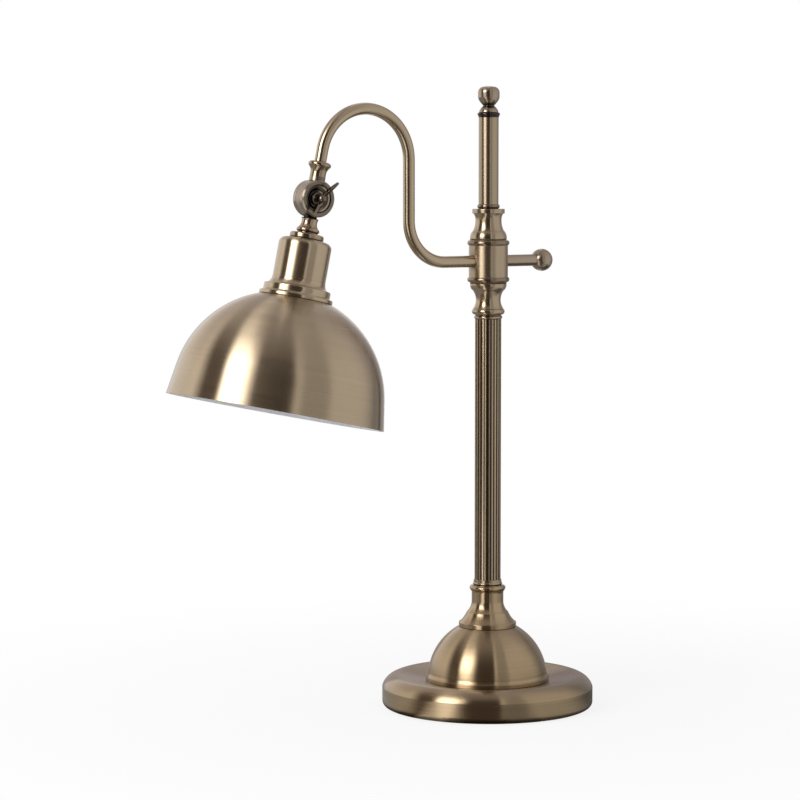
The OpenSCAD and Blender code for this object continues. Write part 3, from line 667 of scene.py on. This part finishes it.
def shown(s):
    """1 for what the camera sees, directly or in metal and glass."""
    path = s.node("LightPath").outputs
    return s.math("MAXIMUM", path["Is Camera Ray"],
                  s.math("MAXIMUM", path["Is Glossy Ray"], path["Is Transmission Ray"]))


def floor_material():
    """White floor that keeps a soft shadow round the base."""
    s = Shader(bpy.data.materials.new("floor"))
    far = s.span(s.vec("LENGTH", s.node("TexCoord").outputs["Object"]), 0.1, 0.7, 0.86, 1.0)
    soft = s.node("BsdfDiffuse", {"Color": (0.86, 0.86, 0.86)}).outputs[0]
    both = s.node("MixShader", {0: s.math("MULTIPLY", shown(s), far), 1: soft, 2: s.emission(WHITE)})
    return s.out(both.outputs[0])


def by_angle(s, angle, levels):
    stops = []
    for at, level, *tint in levels:
        stops.append(((at + EDGE) / (2 * EDGE), shade_of(tint[0] if tint else WHITE, level)))
    return s.ramp(s.span(angle, -EDGE, EDGE, 0.0, 1.0, "LINEAR"), stops)


def walls_material():
    s = Shader(bpy.data.materials.new("walls"))
    p = s.vec("NORMALIZE", s.vec("SUBTRACT", s.node("TexCoord").outputs["Object"], WALL_CENTRE))
    x = s.vec("DOT_PRODUCT", p, RIGHT)
    y = s.vec("DOT_PRODUCT", p, FRONT)
    angle = s.math("MULTIPLY", s.math("ARCTAN2", x, s.math("ADD", y, 1.0)), 2 * DEGREES)
    lift = s.math("MULTIPLY", s.math("ARCSINE", s.vec("DOT_PRODUCT", p, UP)), DEGREES)
    level = by_angle(s, angle, WALLS)
    ceiling = s.mix(s.span(x, -0.55, -0.1), CEILING_LEFT, CEILING_RIGHT)
    level = s.mix(s.span(lift, 32, 72, 0.0, 0.7), level, ceiling)
    at_back = s.math("MULTIPLY", s.span(lift, 12, 35), s.span(y, -0.5, -0.1, 1.0, 0.0))
    level = s.mix(at_back, level, s.mix(s.span(x, -0.5, 0.0), BACK_LEFT, BACK_RIGHT))
    return s.out(s.emission(level))


def boards_material():
    s = Shader(bpy.data.materials.new("boards"))
    p = s.node("TexCoord").outputs["Object"]
    angle = s.math("ARCTAN2", s.vec("DOT_PRODUCT", p, RIGHT), s.vec("DOT_PRODUCT", p, FRONT))
    level = by_angle(s, s.math("MULTIPLY", angle, DEGREES), BOARDS)
    # Painted shadow of the base: the boards dim close round its edge
    base_shadow = s.span(s.vec("LENGTH", p), 0.09, 0.103, 0.12, 1.0)
    return s.out(s.emission(level, base_shadow))


def card_material():
    s = Shader(bpy.data.materials.new("card"))
    x = s.vec("DOT_PRODUCT", s.node("TexCoord").outputs["Object"], RIGHT)
    return s.out(s.emission(s.mix(s.span(x, -0.06, 0.06), CARD_LEFT, CARD_RIGHT)))


def away(angle):
    for (a, r), (b, q) in zip(AWAY, AWAY[1:]):
        if angle <= b:
            return r + (q - r) * (angle - a) / (b - a)
    return AWAY[-1][1]


def room():
    """White floor; and, seen in reflections only, the walls of the studio, open behind the object, boards on
    the floor round it and a low card behind its base."""
    corners = [(-FLOOR, -FLOOR, 0), (FLOOR, -FLOOR, 0), (FLOOR, FLOOR, 0), (-FLOOR, FLOOR, 0)]
    sheet_of("floor", corners, [(0, 1, 2, 3)], floor_material())

    cols, rows = 120, 24
    row = cols + 1
    across = [-EDGE + 2 * EDGE * i / cols for i in range(row)]

    def quads(n):
        return [(j * row + i, j * row + i + 1, (j + 1) * row + i + 1, (j + 1) * row + i)
                for j in range(n) for i in range(cols)]

    lifts = [math.radians(90 * j / rows) for j in range(rows + 1)]
    verts = [tuple(towards(a) * away(a) * math.cos(e) + UP * REACH * math.sin(e))
             for e in lifts for a in across]
    walls = sheet_of("walls", verts, quads(rows), walls_material())
    walls.visible_camera = False

    rings = (0.0855, 0.3, 1.0, REACH)
    verts = [tuple(towards(a) * r + LIE) for r in rings for a in across]
    boards = sheet_of("boards", verts, quads(len(rings) - 1), boards_material())

    foot = BEHIND * CARD_AWAY + LIE
    verts = [tuple(foot + RIGHT * x + UP * z) for z in (0.0, CARD_TOP) for x in (-CARD_SIDE, CARD_SIDE)]
    card = sheet_of("card", verts, [(0, 1, 3, 2)], card_material())
    for obj in (boards, card):
        obj.visible_camera = obj.visible_diffuse = obj.visible_shadow = False


KEY_AZ, KEY_EL, KEY_AWAY = -45, 28, 2.9
KEY_SIZE = (2.1, 1.55)
KEY_RADIANCE = 6.5
KEY_AIM = Vector((0, 0, 0.28))
# Share of its width over which the light fades in from its two ends
KEY_FADE = (0.25, 0.5)


def key_light():
    data = bpy.data.lights.new("key", "AREA")
    data.shape = "RECTANGLE"
    data.size, data.size_y = KEY_SIZE
    data.energy = KEY_RADIANCE * math.pi * KEY_SIZE[0] * KEY_SIZE[1]
    s = Shader(data)
    x = s.node("SeparateXYZ", {0: s.node("NewGeometry").outputs["Parametric"]}).outputs[0]
    fade = s.math("MULTIPLY", s.span(x, 0.0, KEY_FADE[0]),
                  s.span(s.math("SUBTRACT", 1.0, x), 0.0, KEY_FADE[1]))
    s.out(s.emission(WHITE, fade), "OutputLight")
    light = bpy.data.objects.new("key", data)
    scene.collection.objects.link(light)
    light.location = KEY_AIM + towards(KEY_AZ, KEY_EL) * KEY_AWAY
    light.rotation_mode = "QUATERNION"
    light.rotation_quaternion = (light.location - KEY_AIM).to_track_quat("Z", "Y")
    light.visible_camera = False


def make_world():
    scene.world = bpy.data.worlds.new("studio")
    s = Shader(scene.world)
    fill = s.node("Background", {"Color": (0.9, 0.9, 0.92), "Strength": 0.6}).outputs[0]
    white = s.node("Background", {"Color": WHITE, "Strength": 1.0}).outputs[0]
    s.out(s.node("MixShader", {0: shown(s), 1: fill, 2: white}).outputs[0], "OutputWorld")


room()
key_light()
make_world()
